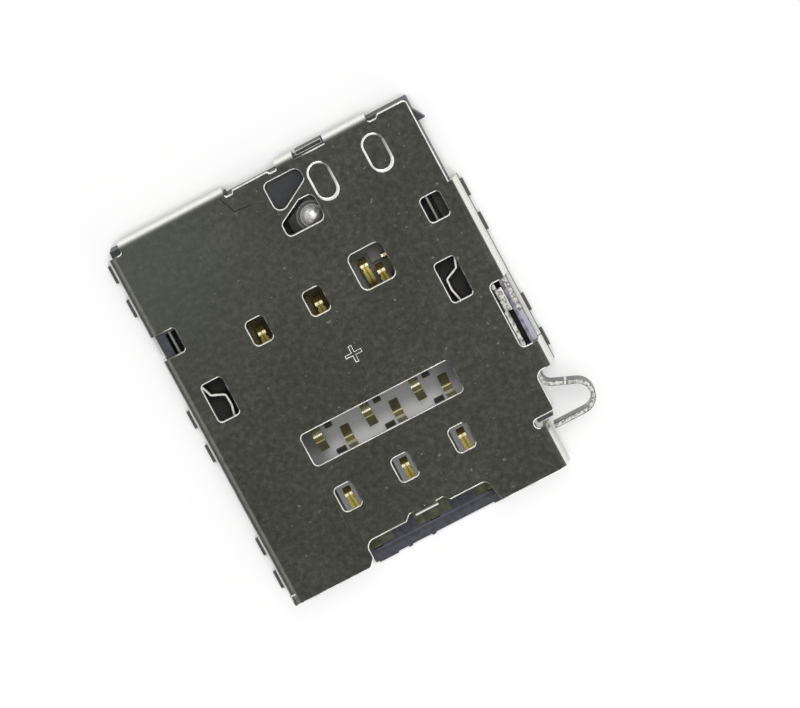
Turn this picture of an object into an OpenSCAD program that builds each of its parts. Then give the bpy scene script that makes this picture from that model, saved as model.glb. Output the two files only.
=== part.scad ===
/* [Shell] */
// Width from the tray slot to the outside of the left flange
left_wall = 1.03; // [1:0.01:1.15]
// Width from the tray slot to the outside of the right flange
right_wall = 1.55; // [1.5:0.01:1.65]
// Length from the front edge to the front row of card contacts
entry_l = 2.92; // [2.85:0.01:3.1]
// Length from the rear row of card contacts to the rear flange
lever_room = 5.84; // [5.7:0.01:6.2]
// Height of the connector above the board
overall_h = 1.4; // [1.35:0.01:1.6]
// Thickness of the steel sheet
sheet_t = 0.15; // [0.12:0.01:0.17]
// Outer radius of the shell's bends
bend_r = 0.25; // [0.2:0.01:0.28]
// Gap between the flanges and the housing
shell_fit = 0.03; // [0.02:0.005:0.05]
// Height of the flanges' lower edges above the board
flange_lift = 0.2; // [0.19:0.01:0.26]
// Length of a solder tab along the flange
tab_l = 0.76; // [0.5:0.02:0.9]
// Reach of a solder tab beyond the flange
tab_reach = 0.27; // [0.15:0.01:0.4]

/* [Housing] */
// Thickness of the moulded floor
floor_t = 0.3; // [0.26:0.01:0.34]
// Width of the slot that the tray slides in
slot_w = 10.92; // [10.8:0.02:11]
// Width of the channel that the eject rod runs in
channel_w = 0.43; // [0.4:0.01:0.45]
// Depth of the pocket behind a latch spring
pocket_d = 0.45; // [0.4:0.01:0.5]
// Thickness of the rear wall
rear_wall_t = 0.43; // [0.3:0.01:0.5]

/* [Contacts] */
// Thickness of the contact sheet
contact_t = 0.12; // [0.1:0.01:0.14]
// Pitch of the card's contact columns
sim_pitch = 2.54; // [2.5:0.01:2.6]
// Distance between the two card contact rows
sim_rows = 7.34; // [7.2:0.02:7.5]
// Width of a card contact at its crown
sim_contact_w = 0.32; // [0.24:0.01:0.4]
// Height of the contact crowns above the board
crown_h = 0.86; // [0.7:0.01:0.95]
// Pitch of the middle row's contacts
row_pitch = 1.09; // [1.05:0.01:1.12]
// Width of a middle row contact
row_contact_w = 0.38; // [0.3:0.01:0.44]

/* [Eject mechanism] */
// Thickness of the eject rod's strip
rod_t = 0.18; // [0.14:0.01:0.2]
// Travel of the eject rod
rod_travel = 1.5; // [1.2:0.05:1.52]
// Thickness of the lever plate
lever_t = 0.2; // [0.14:0.01:0.22]
// Radius of the lever's pivot
pivot_r = 0.3; // [0.24:0.01:0.34]
// Radial gap between the lever and its pivot
pivot_gap = 0.03; // [0.02:0.005:0.05]
// Thickness of a latch spring's strip
spring_t = 0.1; // [0.08:0.01:0.12]

/* [Hidden] */

arc_steps = 6;
through = 1;
shell_w = left_wall + slot_w + right_wall;
shell_l = entry_l + sim_rows + lever_room;
slot_cx = (left_wall - right_wall) / 2;
side = shell_w / 2;
rear = shell_l / 2;
front = -shell_l / 2;
under = overall_h - sheet_t;
lap = 0.05;

steel = [0.29, 0.29, 0.26];
moulding = [0.18, 0.18, 0.22];
gold = [0.83, 0.70, 0.36];
bright = [0.78, 0.77, 0.72];

// A vector of length one along v
function unit(v) = v / norm(v);

// The turn from angle a to angle b, between -180 and 180 degrees
function turn(a, b) = b - a > 180 ? b - a - 360 : b - a < -180 ? b - a + 360 : b - a;

// Points of the arc of radius r that rounds the corner at b between a and c
function corner_arc(a, b, c, r) =
    let(
        back = unit(a - b),
        ahead = unit(c - b),
        half = acos(back * ahead) / 2,
        centre = b + unit(back + ahead) * r / sin(half),
        first = b + back * r / tan(half) - centre,
        last = b + ahead * r / tan(half) - centre,
        start = atan2(first.y, first.x),
        sweep = turn(start, atan2(last.y, last.x))
    )
    [for (i = [0:arc_steps])
        let(at = start + sweep * i / arc_steps)
        centre + r * [cos(at), sin(at)]];

// Closed outline through the corners [x, y, radius], each rounded by its radius
function rounded(corners) =
    let(n = len(corners))
    [for (i = [0:n - 1])
        let(
            a = corners[(i + n - 1) % n],
            b = corners[i],
            c = corners[(i + 1) % n]
        )
        each b.z > 0 ? corner_arc([a.x, a.y], [b.x, b.y], [c.x, c.y], b.z) : [[b.x, b.y]]];

// Open centre line through the corners [x, y, radius]
function bent(corners) =
    let(n = len(corners))
    [for (i = [0:n - 1])
        let(
            a = corners[max(i - 1, 0)],
            b = corners[i],
            c = corners[min(i + 1, n - 1)]
        )
        each b.z > 0 ? corner_arc([a.x, a.y], [b.x, b.y], [c.x, c.y], b.z) : [[b.x, b.y]]];

// The normal on the left of the segment from corner i to the next
function left_of(corners, i) =
    let(
        k = min(max(i, 0), len(corners) - 2),
        d = unit([corners[k + 1].x - corners[k].x, corners[k + 1].y - corners[k].y])
    )
    [-d.y, d.x];

// Corners moved by h to the left of the line, with their radii changed to stay concentric
function beside(corners, h) =
    [for (i = [0:len(corners) - 1])
        let(
            n1 = left_of(corners, i - 1),
            n2 = left_of(corners, i),
            p = [corners[i].x, corners[i].y] + h * (n1 + n2) / (1 + n1 * n2),
            radius = corners[i].z - h * sign(n1.x * n2.y - n1.y * n2.x)
        )
        [p.x, p.y, corners[i].z > 0 ? radius : 0]];

// Section of a strip of thickness t bent along the corners [x, y, radius]
function strip(corners, t) =
    let(
        near = bent(beside(corners, t / 2)),
        far = bent(beside(corners, -t / 2))
    )
    concat(near, [for (i = [len(far) - 1:-1:0]) far[i]]);

// Rectangle between two corners with all four corners rounded
function box_outline(x0, x1, y0, y1, r) = rounded([[x0, y0, r], [x1, y0, r], [x1, y1, r], [x0, y1, r]]);

// Profile in X and Z carried along Y from y0 to y1
module along_y(profile, y0, y1) {
    translate([0, y1, 0])
        rotate([90, 0, 0])
            linear_extrude(y1 - y0)
                polygon(profile);
}

// Profile in Y and Z carried along X from x0 to x1
module along_x(profile, x0, x1) {
    translate([x0, 0, 0])
        rotate([90, 0, 90])
            linear_extrude(x1 - x0)
                polygon(profile);
}

// Block between two corners
module block(low, high) {
    translate(low)
        cube(high - low);
}

// Card contact layout: crown places of the two card rows
sim_front_y = front + entry_l;
sim_rear_y = sim_front_y + sim_rows;
sim_columns = [slot_cx - sim_pitch, slot_cx, slot_cx + sim_pitch];
corner_contact_x = sim_columns[2] + 0.25;

// Middle row layout
row_cx = slot_cx + 0.19;
row_xs = [for (i = [0:5]) row_cx + (i - 2.5) * row_pitch];
row_mid_y = sim_front_y + 2.26;
row_crown_off = 0.29;
row_open_half = 1.08;

// Eject rod and lever layout
rod_x = side - 0.61;
pivot_x = slot_cx + 1.41;
pivot_y = rear - 2.6;
tip_r = 0.28;
lever_gap = 0.03;
lever_reach = rod_x - pivot_x - 0.145;
lever_tip_rise = 1.1;
long_knee = [1.7, 0.8];
long_knee_r = 0.45;
short_root = [-0.25, -0.4];
short_root_r = 0.38;
short_knee = [-2.05, -1.0];
short_tip = [-4.45, -1.4];
short_tip_r = 0.35;
rod_end_y = pivot_y + lever_tip_rise - tip_r - lever_gap;
lever_z = 0.72;
boss_r = 0.85;
hub_r = 0.95;
hub_cut = 0.63;
hub_rings = [[0.82, 0.03], [0.66, 0.05]];
arm_rise = 26.6;
link_waist = 0.95;

// Shell layout
mid_window = [-3.33, 3.31, -0.585, 0.83];
sim_window = [0.83, 1.08, 0.2];
notch_x = side - 0.74;
notch_y = [front + 2.26, front + 3.92];
front_flange_x = side - 1.3;
slit_y = notch_y[0] - 0.4;
slit_x = front_flange_x - 0.43;
right_flange_y = [notch_y[1], rear - 3.84];
left_flange_y = [front + 0.45, rear - 0.43];
rear_flanges = [
    [-side + 0.61, pivot_x - 2.65],
    [pivot_x - 0.34, pivot_x + 0.45],
    [pivot_x + 1.81, side - 1.92]
];
left_tabs = [for (y = [1.06, 2.57, 6.83, 8.37, 13.42, 14.95]) front + y];
right_tabs = [for (y = [4.85, 6.41, 10.07, 11.59]) front + y];
tab_bend = 0.1;
recess_x = [slot_cx - 2.83, slot_cx + 2.71];
recess_y = front + 0.99;
flap_x = [slot_cx - 0.54, slot_cx + 0.46];
flap_bend = sheet_t + 0.03;
flap_relief = 0.22;
flap_drop = 0.45;
rod_window_rear = front + 7.87;
rod_tab_y = [rod_window_rear - 1.27, rod_window_rear - 0.31];
rod_window_y = [rod_tab_y[0] - rod_travel - 0.07, rod_window_rear];
rod_window_bottom = 0.36;
seat_window_y = [rear - 5.03, rear - 3.94];
left_window_y = [rear - 4.98, rear - 3.92];
spring_window_y = [front + 7.91, front + 9.6];
spring_window_l = 0.06;
corner_window = [1.84, 3.32, -0.36, 1.22, 0.28];
left_window_bottom = 0.6;
ovals = [[pivot_x + 1.05, rear - 1.51], [pivot_x + 3.46, rear - 1.51]];
oval_size = [0.9, 1.58];
oval_depth = 0.07;
plus_at = [slot_cx + 0.31, front + 7.93];
plus_l = 0.7;
plus_bar = 0.13;
plus_depth = 0.03;

// Outline of the flat face, whose flanged edges stop at the bend lines
face_outline = rounded([
    [-side + 0.03, front, 0.1],
    [recess_x[0] - 0.28, front, 0.1],
    [recess_x[0], front + 0.3, 0.15],
    [recess_x[0], recess_y, 0.35],
    [flap_x[0] - 0.45, recess_y, 0.12],
    [flap_x[0] - 0.22, recess_y + flap_relief, 0.1],
    [flap_x[0], recess_y + flap_relief, 0],
    [flap_x[0], recess_y + flap_bend, 0],
    [flap_x[1], recess_y + flap_bend, 0],
    [flap_x[1], recess_y + flap_relief, 0],
    [flap_x[1] + 0.3, recess_y + flap_relief, 0.1],
    [flap_x[1] + 0.5, recess_y, 0.12],
    [recess_x[1] - 0.1, recess_y, 0.3],
    [recess_x[1], front + 0.3, 0.2],
    [recess_x[1] + 0.12, front, 0.1],
    [front_flange_x - bend_r, front, 0],
    [front_flange_x - bend_r, slit_y, 0],
    [slit_x, slit_y, 0.18],
    [slit_x, notch_y[0], 0.18],
    [notch_x, notch_y[0], 0.12],
    [notch_x, notch_y[1], 0.35],
    [side - bend_r, notch_y[1], 0],
    [side - bend_r, right_flange_y[1], 0],
    [side - 0.21, right_flange_y[1], 0],
    [side - 0.21, rear - 0.19, 0.15],
    [rear_flanges[2][1] + 0.47, rear - 0.19, 0.05],
    [rear_flanges[2][1] + 0.35, rear - 0.31, 0.05],
    [rear_flanges[2][1] + 0.09, rear - 0.31, 0.05],
    [rear_flanges[2][1], rear - bend_r, 0],
    [rear_flanges[1][0], rear - bend_r, 0],
    [rear_flanges[1][0] - 0.07, rear - 0.31, 0.05],
    [rear_flanges[1][0] - 0.29, rear - 0.31, 0.05],
    [rear_flanges[1][0] - 0.41, rear - 0.2, 0.05],
    [rear_flanges[0][1] + 0.38, rear - 0.21, 0.03],
    [rear_flanges[0][1] + 0.32, rear - 0.33, 0.05],
    [rear_flanges[0][1] + 0.06, rear - 0.33, 0.05],
    [rear_flanges[0][1], rear - bend_r, 0],
    [rear_flanges[0][0], rear - bend_r, 0],
    [rear_flanges[0][0], left_flange_y[1], 0.12],
    [-side + bend_r, left_flange_y[1], 0],
    [-side + bend_r, left_flange_y[0], 0],
    [-side + 0.03, left_flange_y[0], 0]
]);

// Pressed rear windows, with a slanted bar between them
upper_triangle = rounded([
    [pivot_x - 1.13, rear - 2.02, 0.3],
    [pivot_x + 0.45, rear - 1.12, 0.2],
    [pivot_x + 0.45, rear - 0.56, 0.3],
    [pivot_x - 1.13, rear - 0.56, 0.22]
]);
lower_triangle = rounded([
    [pivot_x - 1.19, rear - 2.9, 0.22],
    [pivot_x + 0.47, rear - 2.9, 0.28],
    [pivot_x + 0.47, rear - 1.74, 0.25],
    [pivot_x - 0.15, rear - 1.74, 0.15],
    [pivot_x - 1.19, rear - 2.3, 0.2]
]);

// Window of the card contact whose crown is at x, y
module sim_window_at(x, y) {
    translate([x - sim_window[0] / 2, y - sim_window[1] / 2])
        polygon(box_outline(0, sim_window[0], 0, sim_window[1], sim_window[2]));
}

module face_windows() {
    polygon(upper_triangle);
    polygon(lower_triangle);
    for (x = [sim_columns[0], sim_columns[1]])
        sim_window_at(x, sim_rear_y + 0.21);
    for (x = sim_columns)
        sim_window_at(x - 0.02, sim_front_y + 0.04);
    polygon(box_outline(slot_cx + corner_window[0], slot_cx + corner_window[1],
        sim_rear_y + corner_window[2], sim_rear_y + corner_window[3], corner_window[4]));
    polygon(box_outline(row_cx + mid_window[0], row_cx + mid_window[1],
        row_mid_y + mid_window[2], row_mid_y + mid_window[3], 0.2));
    polygon(box_outline(-side + 0.83, -side + 1.77, spring_window_y[0], spring_window_y[1], 0.18));
    polygon(box_outline(side - 2.3, side - 1.37,
        spring_window_y[0] - spring_window_l, spring_window_y[1], 0.18));
    polygon(box_outline(side - 1.59, side - 0.7, seat_window_y[0], seat_window_y[1], 0.18));
    polygon(box_outline(-side - through, -side + 1.05, left_window_y[0], left_window_y[1], 0.15));
    polygon(box_outline(notch_x, side + through, rod_window_y[0], rod_window_y[1], 0.2));
}

// Sheet section of a flange whose outer face is at zero, bent down from the face
function flange_section(radius, bottom) = strip([
    [-radius - lap, overall_h - sheet_t / 2, 0],
    [-sheet_t / 2, overall_h - sheet_t / 2, radius - sheet_t / 2],
    [-sheet_t / 2, bottom, 0]
], sheet_t);

// Sheet section of a solder tab, bent outwards below a flange
tab_top = sheet_t / 2 + tab_bend + 0.005;
tab_section = strip([
    [-sheet_t / 2, tab_top, 0],
    [-sheet_t / 2, sheet_t / 2, tab_bend],
    [tab_reach, sheet_t / 2, 0]
], sheet_t);

// Flange in the plane X = 0, bent down from a face on its left, with a solder tab at each place in tabs
module side_flange(y0, y1, tabs) {
    half = tab_l / 2;
    along_y(flange_section(bend_r, overall_h - bend_r - lap), y0, y1);
    translate([-sheet_t, 0, 0])
        rotate([90, 0, 90])
            linear_extrude(sheet_t)
                polygon([
                    [y0, overall_h - bend_r - lap],
                    [y0, flange_lift],
                    for (y = tabs)
                        each [
                            [y - half, flange_lift], [y - half, tab_top],
                            [y + half, tab_top], [y + half, flange_lift]
                        ],
                    [y1, flange_lift],
                    [y1, overall_h - bend_r - lap]
                ]);
    for (y = tabs)
        along_y(tab_section, y - half, y + half);
}

module right_flange() {
    translate([side, 0, 0])
        side_flange(right_flange_y[0], right_flange_y[1], right_tabs);
}

module left_flange() {
    translate([-side, 0, 0])
        mirror([1, 0, 0])
            side_flange(left_flange_y[0], left_flange_y[1], left_tabs);
}

module front_flange() {
    translate([front_flange_x, 0, 0])
        along_y(flange_section(bend_r, flange_lift), front + 0.04, slit_y);
}

module rear_flange(x0, x1) {
    translate([0, rear, 0])
        along_x(flange_section(bend_r, flange_lift), x0, x1);
}

// Centre flap of the front recess, bent down towards the tray
module front_flap() {
    translate([0, recess_y, 0])
        mirror([0, 1, 0])
            along_x(flange_section(flap_bend, overall_h - flap_drop), flap_x[0], flap_x[1]);
}

function oval_outline(centre, size) = box_outline(centre.x - size.x / 2, centre.x + size.x / 2,
    centre.y - size.y / 2, centre.y + size.y / 2, size.x / 2 - 0.01);

module shell() {
    color(steel)
        difference() {
            union() {
                translate([0, 0, under])
                    linear_extrude(sheet_t)
                        difference() {
                            polygon(face_outline);
                            face_windows();
                        }
                difference() {
                    union() {
                        right_flange();
                        left_flange();
                    }
                    block([notch_x, rod_window_y[0], rod_window_bottom],
                        [side + through, rod_window_y[1], overall_h + through]);
                    block([-side - through, left_window_y[0], left_window_bottom],
                        [-side + bend_r + lap, left_window_y[1], overall_h + through]);
                }
                front_flange();
                for (span = rear_flanges)
                    rear_flange(span[0], span[1]);
                front_flap();
                for (centre = ovals)
                    translate([0, 0, under - oval_depth])
                        linear_extrude(oval_depth + sheet_t / 2)
                            polygon(oval_outline(centre, oval_size));
            }
            for (centre = ovals)
                translate([0, 0, overall_h - oval_depth])
                    linear_extrude(through)
                        polygon(oval_outline(centre, oval_size));
            translate([plus_at.x, plus_at.y, overall_h - plus_depth]) {
                block([-plus_l / 2, -plus_bar / 2, 0], [plus_l / 2, plus_bar / 2, through]);
                block([-plus_bar / 2, -plus_l / 2, 0], [plus_bar / 2, plus_l / 2, through]);
            }
        }
}

// Contact layout shared with the housing's pockets
base_top = floor_t;
base_low = floor_t - contact_t;
foot_z = contact_t / 2;
crown_z = crown_h - contact_t / 2;
sim_arm = 1.47;
sim_base_l = 1.0;
sim_foot_l = 0.5;
sim_crown = 0.12;
sim_tip = 0.2;
waist_y = -0.14;
waist_r = 0.07;
tail_step = 0.2;
tail_l = 0.45;
narrow_base_w = 0.46;
rear_base_w = 0.8;
front_base_w = 1.5;
fold_r = (base_low + contact_t / 2 - foot_z) / 2;
row_crown = 0.24;
row_tip = 0.42;
row_foot_l = 0.5;
detect_x = corner_contact_x - 0.51;
detect_y = sim_rear_y + 0.48;
terminal_x = [corner_contact_x + 0.25, corner_contact_x + 0.51];
terminal_y = [sim_rear_y - 0.51, sim_rear_y + 0.51];
well_clear = 0.12;
well_floor = 0.14;
contact_gap = 0.04;
fold_room = 2 * fold_r + 0.08;
front_opening = [0.45, -0.85, 0.42];

// Foot folded back under the base of a card contact whose crown is at zero
folded_foot = [
    [-sim_arm - sim_base_l + sim_foot_l, foot_z, 0],
    [-sim_arm - sim_base_l - fold_r, foot_z, fold_r * 0.8],
    [-sim_arm - sim_base_l - fold_r, base_low + contact_t / 2, fold_r * 0.8]
];

// Tail stepped down from the base towards the front
stepped_tail = [
    [-sim_arm - sim_base_l - tail_l, foot_z, 0],
    [-sim_arm - sim_base_l - tail_step, foot_z, 0.1],
    [-sim_arm - sim_base_l, base_low + contact_t / 2, 0.1]
];

// Arm of a card contact from its base to its crown and tip
sim_spring = [
    [-sim_arm, base_low + contact_t / 2, 0.3],
    [-sim_crown / 2, crown_z, 0.1],
    [sim_crown / 2, crown_z - 0.02, 0.1],
    [sim_crown / 2 + sim_tip, crown_z - 0.26, 0]
];

// Centre line of a middle row contact whose crown is at zero and whose foot lies towards the rear
row_line = [
    [row_open_half - row_crown_off + row_foot_l, foot_z, 0],
    [row_open_half - row_crown_off - 0.1, foot_z, 0.2],
    [row_crown / 2, crown_z, 0.12],
    [-row_crown / 2, crown_z - 0.03, 0.14],
    [-row_crown / 2 - row_tip, crown_z - 0.34, 0]
];

// A card contact with a waist in front of its crown; its foot starts the strip's centre line
module card_contact(x, y, base_w, foot) {
    color(gold)
        translate([x, y, 0]) {
            difference() {
                along_x(strip(concat(foot, sim_spring), contact_t), -sim_contact_w / 2, sim_contact_w / 2);
                for (s = [-1, 1])
                    translate([s * (sim_contact_w / 2 + waist_r / 3), waist_y, base_top])
                        cylinder(h = overall_h, r = waist_r, $fn = 24);
            }
            block([-base_w / 2, -sim_arm - sim_base_l, base_low], [base_w / 2, -sim_arm, base_top]);
        }
}

module rear_contact(x, base_w) {
    card_contact(x, sim_rear_y, base_w, folded_foot);
}

module front_contact(x) {
    card_contact(x, sim_front_y, front_base_w, stepped_tail);
}

// A middle row contact, rooted at the rear or, mirrored, at the front
module row_contact(x, rear_rooted) {
    color(gold)
        translate([x, row_mid_y, 0])
            mirror([0, rear_rooted ? 0 : 1, 0])
                translate([0, row_crown_off, 0])
                    along_x(strip(row_line, contact_t), -row_contact_w / 2, row_contact_w / 2);
}

module detect_terminal() {
    terminal_line = [
        [terminal_y[0], base_low + contact_t / 2, 0],
        [terminal_y[1] - 0.1, base_low + contact_t / 2, 0.15],
        [terminal_y[1], crown_z - 0.12, 0]
    ];
    color(gold)
        along_x(strip(terminal_line, contact_t), terminal_x[0], terminal_x[1]);
}

// Housing layout
body_w = side - sheet_t - shell_fit;
rear_face = rear - sheet_t - shell_fit;
sill_y = front - 0.14;
slot_x = [slot_cx - slot_w / 2, slot_cx + slot_w / 2];
strip_gap = 0.04;
rod_inner_x = rod_x - rod_t / 2 - strip_gap;
rod_outer_x = rod_inner_x + channel_w;
rib_x = rod_x + rod_t / 2 + strip_gap;
rod_ribs = [[front + 4.15, front + 4.85], [front + 9.95, front + 10.75]];
wall_end_y = pivot_y - 0.85;
channel_y = [notch_y[1] + 0.03, rear_face - rear_wall_t];
block_x = pivot_x + 0.6;
block_y = pivot_y + 0.95;
block_gap = hub_cut + 0.27;
block_step_x = pivot_x - 1.05;
block_top = 1.1;
front_floor_x = slit_x - 0.02;
floor_step_y = notch_y[0] - 0.2;
notch_floor_x = notch_x - 0.14;
edge_cut = bend_r - sheet_t;
window_step = 0.12;
spring_x = slot_w / 2 + 0.27;
spring_seat_y = [pivot_y - 1.45, pivot_y - 1];
spring_mid_y = front + 8.05;
pocket_y = [spring_mid_y - 1.5, spring_seat_y[0]];
spring_slot = [seat_window_y[0] - 0.12, seat_window_y[1] + 0.19, 0.7];
rear_lug_x = [rear_flanges[1][1] + 0.14, rear_flanges[2][0] - 0.08];
rear_recess = 0.12;
barb = [[body_w - lap, rear - 1.22], [body_w + 0.32, rear - 1.22], [body_w - lap, rear - 0.6]];
row_open_x = [row_cx - 3.45, row_cx + 3.25];
stub_off = 0.36;
stub_w = 0.3;
stub_l = 0.66;
front_stub_w = 0.4;
front_stub_l = 0.54;
sill_drop = 0.14;
sill_run = 0.3;
sill_x = [recess_x[0] - 0.1, recess_x[1] + 0.2];
front_face = front + 0.06;
lugs = [[slot_cx - 2.79, slot_cx - 1.94], [slot_cx + 2.36, slot_cx + 2.86]];
teeth = [slot_cx - 1.39, slot_cx - 0.34];
tooth_w = 0.16;
lug_l = 0.06;

floor_outline = [
    [-body_w, front_face],
    [sill_x[0], front_face],
    [sill_x[0], sill_y],
    [sill_x[1], sill_y],
    [sill_x[1], front_face],
    [front_floor_x, front_face],
    [front_floor_x, floor_step_y],
    [notch_floor_x, floor_step_y],
    [notch_floor_x, channel_y[0]],
    [body_w, channel_y[0]],
    [body_w, rear_face],
    [-body_w, rear_face]
];

// Seat of a card contact's base, and the well under its arm
module base_pocket(base_w, well_low) {
    block([-base_w / 2, -sim_arm - sim_base_l, base_low], [base_w / 2, -sim_arm, floor_t + through]);
    block([-sim_contact_w / 2 - well_clear, -sim_arm, well_low],
        [sim_contact_w / 2 + well_clear, sim_crown / 2 + sim_tip + well_clear, floor_t + through]);
}

// Pocket of a front card contact, with the tunnel of its tail under the sill
module tail_pocket(x, y, base_w) {
    translate([x, y, 0]) {
        base_pocket(base_w, -through);
        along_x([
            [-sim_arm - sim_base_l + tail_step, -through],
            [-sim_arm - sim_base_l + tail_step, base_low + lap],
            [-sim_arm - sim_base_l - contact_gap, floor_t + lap],
            [-sim_arm - sim_base_l - tail_step - contact_gap, contact_t + contact_gap],
            [-sim_arm - sim_base_l - tail_l - contact_gap, contact_t + contact_gap],
            [-sim_arm - sim_base_l - tail_l - contact_gap, -through]
        ], -sim_contact_w / 2 - contact_gap, sim_contact_w / 2 + contact_gap);
    }
}

// Pocket and fold room of a rear card contact
module sim_pocket(x, y, base_w, well_low) {
    translate([x, y, 0]) {
        base_pocket(base_w, well_low);
        block([-sim_contact_w / 2 - contact_gap, -sim_arm - sim_base_l - fold_room, -through],
            [sim_contact_w / 2 + contact_gap, -sim_arm - sim_base_l + sim_foot_l + contact_gap, base_low]);
        block([-sim_contact_w / 2 - contact_gap, -sim_arm - sim_base_l - fold_room, -through],
            [sim_contact_w / 2 + contact_gap, -sim_arm - sim_base_l, floor_t + through]);
    }
}

// Bottom recess of a middle row contact's foot
module row_pocket(x, rear_rooted) {
    translate([x, row_mid_y, 0])
        mirror([0, rear_rooted ? 0 : 1, 0])
            block([-row_contact_w / 2, row_open_half - lap, -through],
                [row_contact_w / 2, row_open_half + row_foot_l, contact_t]);
}

module floor_plate() {
    difference() {
        linear_extrude(floor_t)
            polygon(floor_outline);
        along_x([
            [sill_y - through, floor_t - sill_drop],
            [sill_y, floor_t - sill_drop],
            [sill_y + sill_run, floor_t],
            [sill_y + sill_run, floor_t + through],
            [sill_y - through, floor_t + through]
        ], sill_x[0] - through, sill_x[1] + through);
        for (x = [sim_columns[0], sim_columns[1]])
            sim_pocket(x, sim_rear_y, rear_base_w, well_floor);
        sim_pocket(corner_contact_x, sim_rear_y, narrow_base_w, well_floor);
        sim_pocket(detect_x, detect_y, narrow_base_w, well_floor);
        for (x = sim_columns) {
            tail_pocket(x, sim_front_y, front_base_w);
            translate([x, sim_front_y, 0])
                block([-front_opening[0], front_opening[1], -through],
                    [front_opening[0], front_opening[2], floor_t + through]);
        }
        block([terminal_x[0], terminal_y[0], base_low],
            [terminal_x[1], terminal_y[1] + 0.1, floor_t + through]);
        block([row_open_x[0], row_mid_y - row_open_half, -through],
            [row_open_x[1], row_mid_y + row_open_half, floor_t + through]);
        for (i = [0:5])
            row_pocket(row_xs[i], i % 2 == 0);
    }
    for (i = [0, 2, 4]) {
        block([row_xs[i] + stub_off, row_mid_y + row_open_half - stub_l, 0],
            [row_xs[i] + stub_off + stub_w, row_mid_y + row_open_half + lap, floor_t]);
        block([row_xs[i + 1] - stub_off - front_stub_w, row_mid_y - row_open_half - lap, 0],
            [row_xs[i + 1] - stub_off, row_mid_y - row_open_half + front_stub_l, floor_t]);
    }
    for (span = lugs)
        block([span[0], sill_y - lug_l, 0], [span[1], sill_y + lap, floor_t - sill_drop]);
    for (x = teeth)
        block([x - tooth_w / 2, sill_y - lug_l, 0], [x + tooth_w / 2, sill_y + lap, floor_t - sill_drop]);
}

module side_walls() {
    difference() {
        union() {
            block([-body_w, front_face, 0], [slot_x[0], rear_face, under]);
            block([slot_x[1], floor_step_y, 0], [notch_floor_x, channel_y[0] + lap, under]);
            block([slot_x[1], channel_y[0], 0], [rod_inner_x, wall_end_y, under]);
            block([rod_outer_x, channel_y[0], 0], [body_w, rear_face, under]);
            for (span = rod_ribs)
                block([rib_x, span[0], floor_t - lap], [rod_outer_x + lap, span[1], under]);
            block([body_w - lap, rod_window_y[0] + shell_fit, rod_window_bottom + shell_fit],
                [side, rod_window_y[1] - shell_fit, under - window_step]);
        }
        for (s = [-1, 1]) {
            spring_side = slot_cx + s * spring_x;
            inner = slot_cx + s * slot_w / 2;
            outer = inner + s * pocket_d;
            block([min(inner - s * through, outer), pocket_y[0], floor_t],
                [max(inner - s * through, outer), pocket_y[1], under + through]);
            block([spring_side - spring_t / 2, spring_seat_y[0] - lap, floor_t],
                [spring_side + spring_t / 2, spring_seat_y[1], under + through]);
        }
        block([slot_x[1] - through, spring_slot[0], spring_slot[2]],
            [rod_inner_x + lap, spring_slot[1], under + through]);
        block([rod_outer_x - through, rod_window_y[0] + shell_fit, under - window_step],
            [side + through, rod_window_y[1] - shell_fit, under + through]);
    }
}

// Y of the rear block's slanted front face at x, parallel to the lever's long arm
function block_front(x) = pivot_y + (block_gap + (x - pivot_x) * sin(arm_rise)) / cos(arm_rise);

// Solid corner block behind the lever
block_outline = [
    [-body_w, block_y],
    [block_step_x, block_y],
    [block_step_x, block_front(block_step_x)],
    [block_x, block_front(block_x)],
    [block_x, rear_face],
    [-body_w, rear_face]
];

// Room along the walls' outer top edges for the inside of the shell's bends
module edge_chamfers() {
    for (s = [-1, 1])
        along_y([
            [s * (body_w - edge_cut), under], [s * body_w, under - edge_cut],
            [s * body_w, under + lap], [s * (body_w - edge_cut), under + lap]
        ], front - through, rear + through);
    along_x([[rear_face - edge_cut, under], [rear_face, under - edge_cut],
        [rear_face, under + lap], [rear_face - edge_cut, under + lap]], -side - through, side + through);
}

module housing() {
    color(moulding)
        difference() {
            union() {
                floor_plate();
                side_walls();
                block([-body_w, channel_y[1], 0], [body_w, rear_face, under]);
                linear_extrude(block_top)
                    polygon(block_outline);
                block([rear_lug_x[0], rear_face - lap, 0.25], [rear_lug_x[1], rear - 0.01, under - 0.06]);
                translate([0, 0, 0.35])
                    linear_extrude(0.55)
                        polygon(barb);
                translate([pivot_x, pivot_y, 0])
                    cylinder(h = lever_z - 0.02, r = boss_r, $fn = 64);
            }
            edge_chamfers();
            block([rear_flanges[0][1] + lap, rear_face - rear_recess, -through],
                [rear_flanges[1][0] - lap, rear + through, overall_h + through]);
            translate([pivot_x, pivot_y, -through])
                cylinder(h = overall_h + through, r = pivot_r, $fn = 64);
        }
}

// Quadrilateral that joins two discs just inside their common tangents
module link(a, ra, b, rb) {
    axis = atan2(b.y - a.y, b.x - a.x);
    lean = acos((ra - rb) / norm(b - a));
    near = link_waist * ra;
    far = link_waist * rb;
    polygon([
        a + near * [cos(axis + lean), sin(axis + lean)],
        b + far * [cos(axis + lean), sin(axis + lean)],
        b + far * [cos(axis - lean), sin(axis - lean)],
        a + near * [cos(axis - lean), sin(axis - lean)]
    ]);
}

// One arm of the lever: root, knee and round tip
module lever_arm(root, root_r, knee, knee_r, tip, tip_radius) {
    link(root, root_r, knee, knee_r);
    link(knee, knee_r, tip, tip_radius);
    translate(knee)
        circle(r = knee_r, $fn = 48);
    translate(tip)
        circle(r = tip_radius, $fn = 48);
}

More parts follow.
